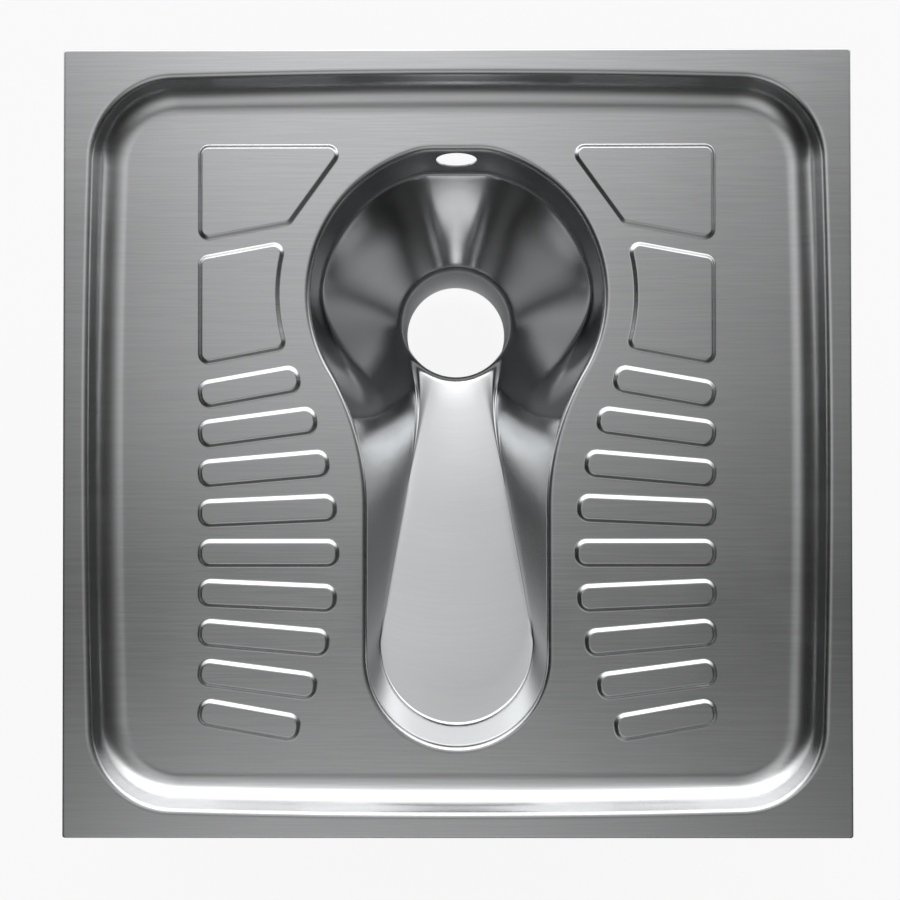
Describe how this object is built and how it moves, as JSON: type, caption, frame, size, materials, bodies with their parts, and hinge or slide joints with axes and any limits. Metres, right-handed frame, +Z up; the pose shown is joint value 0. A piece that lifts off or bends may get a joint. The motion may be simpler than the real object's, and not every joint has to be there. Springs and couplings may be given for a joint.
{
  "type": "squat toilet",
  "caption": "Stainless steel squat toilet pan: a square tray with raised foot treads, a keyhole bowl with a rear outlet, and an underframe on adjustable feet.",
  "frame": {"origin": "on the floor under the middle of the pan, feet at their middle setting", "axes": "+X to the right of a user who faces the front, +Y to the rear where the flush pipe enters, +Z up"},
  "size_m": [0.6, 0.6, 0.25],
  "materials": {
    "satin_steel": "satin pressed stainless sheet",
    "brushed_bowl_steel": "turned and satin polished stainless sheet",
    "frame_steel": "mill finish stainless section",
    "zinc_steel": "bright zinc-plated steel",
    "black_rubber": "moulded rubber",
    "black_nylon": "moulded nylon",
    "bitumen": "matt bitumen damping sheet",
    "brass": "turned brass"
  },
  "bodies": {
    "pan": {"tray": "satin_steel", "bowl": "brushed_bowl_steel", "outlet_spigot": "brushed_bowl_steel", "rail_left": "frame_steel", "rail_right": "frame_steel", "leg_front_left": "frame_steel", "leg_front_right": "frame_steel", "leg_rear_left": "frame_steel", "leg_rear_right": "frame_steel", "plug_front_left": "black_nylon", "plug_front_right": "black_nylon", "plug_rear_left": "black_nylon", "plug_rear_right": "black_nylon", "lock_nuts": "zinc_steel", "mat_left": "bitumen", "mat_right": "bitumen", "anchor_lugs": "frame_steel", "earth_tab": "frame_steel", "earth_screw": "zinc_steel", "earth_washers": "brass", "earth_nut": "brass"},
    "foot_body_front_left": {"foot_front_left": "zinc_steel", "sole_front_left": "black_rubber"},
    "screw_body_front_left": {"screw_front_left": "zinc_steel"},
    "foot_body_front_right": {"foot_front_right": "zinc_steel", "sole_front_right": "black_rubber"},
    "screw_body_front_right": {"screw_front_right": "zinc_steel"},
    "foot_body_rear_left": {"foot_rear_left": "zinc_steel", "sole_rear_left": "black_rubber"},
    "screw_body_rear_left": {"screw_rear_left": "zinc_steel"},
    "foot_body_rear_right": {"foot_rear_right": "zinc_steel", "sole_rear_right": "black_rubber"},
    "screw_body_rear_right": {"screw_rear_right": "zinc_steel"}
  },
  "joints": [
    {"name": "foot_slide_front_left", "type": "slide", "parent": "pan", "child": "foot_body_front_left", "axis": [0, 0, -1], "range_m": [-0.01, 0.02]},
    {"name": "screw_turn_front_left", "type": "hinge", "parent": "foot_body_front_left", "child": "screw_body_front_left", "pos_m": [-0.228, -0.185, 0.02], "axis": [0, 0, 1], "range_deg": [-4810, 2410]},
    {"name": "foot_slide_front_right", "type": "slide", "parent": "pan", "child": "foot_body_front_right", "axis": [0, 0, -1], "range_m": [-0.01, 0.02]},
    {"name": "screw_turn_front_right", "type": "hinge", "parent": "foot_body_front_right", "child": "screw_body_front_right", "pos_m": [0.228, -0.185, 0.02], "axis": [0, 0, 1], "range_deg": [-4810, 2410]},
    {"name": "foot_slide_rear_left", "type": "slide", "parent": "pan", "child": "foot_body_rear_left", "axis": [0, 0, -1], "range_m": [-0.01, 0.02]},
    {"name": "screw_turn_rear_left", "type": "hinge", "parent": "foot_body_rear_left", "child": "screw_body_rear_left", "pos_m": [-0.228, 0.185, 0.02], "axis": [0, 0, 1], "range_deg": [-4810, 2410]},
    {"name": "foot_slide_rear_right", "type": "slide", "parent": "pan", "child": "foot_body_rear_right", "axis": [0, 0, -1], "range_m": [-0.01, 0.02]},
    {"name": "screw_turn_rear_right", "type": "hinge", "parent": "foot_body_rear_right", "child": "screw_body_rear_right", "pos_m": [0.228, 0.185, 0.02], "axis": [0, 0, 1], "range_deg": [-4810, 2410]}
  ],
  "couplings": [
    {"joint": "screw_turn_front_left", "follows": "foot_slide_front_left", "rad_per_m": -4188.8},
    {"joint": "screw_turn_front_right", "follows": "foot_slide_front_right", "rad_per_m": -4188.8},
    {"joint": "screw_turn_rear_left", "follows": "foot_slide_rear_left", "rad_per_m": -4188.8},
    {"joint": "screw_turn_rear_right", "follows": "foot_slide_rear_right", "rad_per_m": -4188.8}
  ]
}
